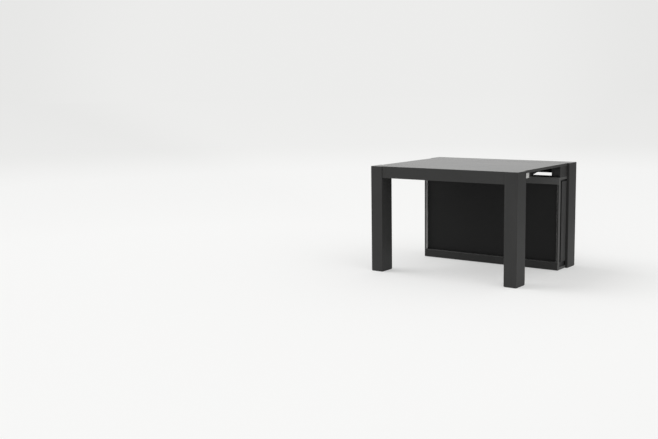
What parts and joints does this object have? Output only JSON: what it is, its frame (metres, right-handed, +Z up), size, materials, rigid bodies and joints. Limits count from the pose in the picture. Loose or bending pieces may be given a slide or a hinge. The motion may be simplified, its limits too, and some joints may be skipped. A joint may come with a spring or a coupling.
{
  "type": "extendable console table",
  "caption": "Dark console table on box legs, opened by one leaf on telescopic rails, with spare leaves standing on edge in a rack under the back.",
  "frame": {"origin": "on the floor, at the centre of the opened table", "axes": "+X along the aprons to the open end of the rack, +Y from the front unit to the back unit, +Z up"},
  "size_m": [1.134, 0.955, 0.755],
  "materials": {
    "board_lacquer": "matt dark grey lacquer on board",
    "frame_paint": "matt dark grey powder coat",
    "rail_metal": "dark anodised extrusion",
    "rack_frame": "matt dark grey lacquer on wood",
    "rack_board": "matt dark grey lacquer on board",
    "rack_panel": "matt black thin board",
    "white_nylon": "moulded white nylon",
    "black_plastic": "moulded black plastic",
    "dark_steel": "blackened steel"
  },
  "bodies": {
    "front_unit": {"leg_front_left": "frame_paint", "leg_front_right": "frame_paint", "foot_front_left": "black_plastic", "foot_front_right": "black_plastic", "half_top_front": "board_lacquer", "apron_front": "frame_paint", "ledge_front": "dark_steel", "rail_left_0": "rail_metal", "rail_right_0": "rail_metal", "guide_block_left": "white_nylon", "guide_block_right": "white_nylon"},
    "back_unit": {"leg_back_left": "frame_paint", "leg_back_right": "frame_paint", "foot_back_left": "black_plastic", "foot_back_right": "black_plastic", "half_top_back": "board_lacquer", "apron_back": "frame_paint", "ledge_back": "dark_steel", "rail_left_10": "rail_metal", "rail_right_10": "rail_metal", "rack_hanger_left": "frame_paint", "rack_hanger_right": "frame_paint", "hanger_screw_left_1": "dark_steel", "hanger_screw_left_2": "dark_steel", "hanger_screw_right_1": "dark_steel", "hanger_screw_right_2": "dark_steel", "rack_top_plate": "rack_board", "rack_bottom_plate": "rack_board", "rack_end_left": "rack_frame", "rack_back_panel": "rack_panel", "rack_front_rail_top": "rack_frame", "rack_front_rail_bottom": "rack_frame", "rack_front_stile_left": "rack_frame", "rack_front_stile_right": "rack_frame", "rack_front_panel": "rack_panel", "rack_comb_bottom": "black_plastic", "rack_comb_top": "black_plastic"},
    "stage_1": {"rail_left_1": "rail_metal", "rail_right_1": "rail_metal"},
    "stage_2": {"rail_left_2": "rail_metal", "rail_right_2": "rail_metal"},
    "stage_3": {"rail_left_3": "rail_metal", "rail_right_3": "rail_metal"},
    "stage_4": {"rail_left_4": "rail_metal", "rail_right_4": "rail_metal"},
    "stage_5": {"rail_left_5": "rail_metal", "rail_right_5": "rail_metal"},
    "stage_6": {"rail_left_6": "rail_metal", "rail_right_6": "rail_metal"},
    "stage_7": {"rail_left_7": "rail_metal", "rail_right_7": "rail_metal"},
    "stage_8": {"rail_left_8": "rail_metal", "rail_right_8": "rail_metal"},
    "stage_9": {"rail_left_9": "rail_metal", "rail_right_9": "rail_metal"},
    "leaf_placed": {"leaf_placed": "board_lacquer"},
    "leaf_stored_1": {"leaf_stored_1": "board_lacquer"},
    "leaf_stored_2": {"leaf_stored_2": "board_lacquer"},
    "leaf_stored_3": {"leaf_stored_3": "board_lacquer"},
    "leaf_stored_4": {"leaf_stored_4": "board_lacquer"}
  },
  "joints": [
    {"name": "extension", "type": "slide", "parent": "front_unit", "child": "back_unit", "axis": [0, 1, 0], "range_m": [0, 2.3]},
    {"name": "stage_1_slide", "type": "slide", "parent": "front_unit", "child": "stage_1", "axis": [0, 1, 0], "range_m": [0, 0.23]},
    {"name": "stage_2_slide", "type": "slide", "parent": "front_unit", "child": "stage_2", "axis": [0, 1, 0], "range_m": [0, 0.46]},
    {"name": "stage_3_slide", "type": "slide", "parent": "front_unit", "child": "stage_3", "axis": [0, 1, 0], "range_m": [0, 0.69]},
    {"name": "stage_4_slide", "type": "slide", "parent": "front_unit", "child": "stage_4", "axis": [0, 1, 0], "range_m": [0, 0.92]},
    {"name": "stage_5_slide", "type": "slide", "parent": "front_unit", "child": "stage_5", "axis": [0, 1, 0], "range_m": [0, 1.15]},
    {"name": "stage_6_slide", "type": "slide", "parent": "front_unit", "child": "stage_6", "axis": [0, 1, 0], "range_m": [0, 1.38]},
    {"name": "stage_7_slide", "type": "slide", "parent": "front_unit", "child": "stage_7", "axis": [0, 1, 0], "range_m": [0, 1.61]},
    {"name": "stage_8_slide", "type": "slide", "parent": "front_unit", "child": "stage_8", "axis": [0, 1, 0], "range_m": [0, 1.84]},
    {"name": "stage_9_slide", "type": "slide", "parent": "front_unit", "child": "stage_9", "axis": [0, 1, 0], "range_m": [0, 2.07]},
    {"name": "leaf_lift", "type": "slide", "parent": "front_unit", "child": "leaf_placed", "axis": [0, 0, 1], "range_m": [0, 0.3]},
    {"name": "leaf_1_pull", "type": "slide", "parent": "back_unit", "child": "leaf_stored_1", "axis": [1, 0, 0], "range_m": [0, 1.1]},
    {"name": "leaf_2_pull", "type": "slide", "parent": "back_unit", "child": "leaf_stored_2", "axis": [1, 0, 0], "range_m": [0, 1.1]},
    {"name": "leaf_3_pull", "type": "slide", "parent": "back_unit", "child": "leaf_stored_3", "axis": [1, 0, 0], "range_m": [0, 1.1]},
    {"name": "leaf_4_pull", "type": "slide", "parent": "back_unit", "child": "leaf_stored_4", "axis": [1, 0, 0], "range_m": [0, 1.1]}
  ],
  "couplings": [
    {"joint": "stage_1_slide", "follows": "extension", "ratio": 0.1},
    {"joint": "stage_2_slide", "follows": "extension", "ratio": 0.2},
    {"joint": "stage_3_slide", "follows": "extension", "ratio": 0.3},
    {"joint": "stage_4_slide", "follows": "extension", "ratio": 0.4},
    {"joint": "stage_5_slide", "follows": "extension", "ratio": 0.5},
    {"joint": "stage_6_slide", "follows": "extension", "ratio": 0.6},
    {"joint": "stage_7_slide", "follows": "extension", "ratio": 0.7},
    {"joint": "stage_8_slide", "follows": "extension", "ratio": 0.8},
    {"joint": "stage_9_slide", "follows": "extension", "ratio": 0.9}
  ]
}
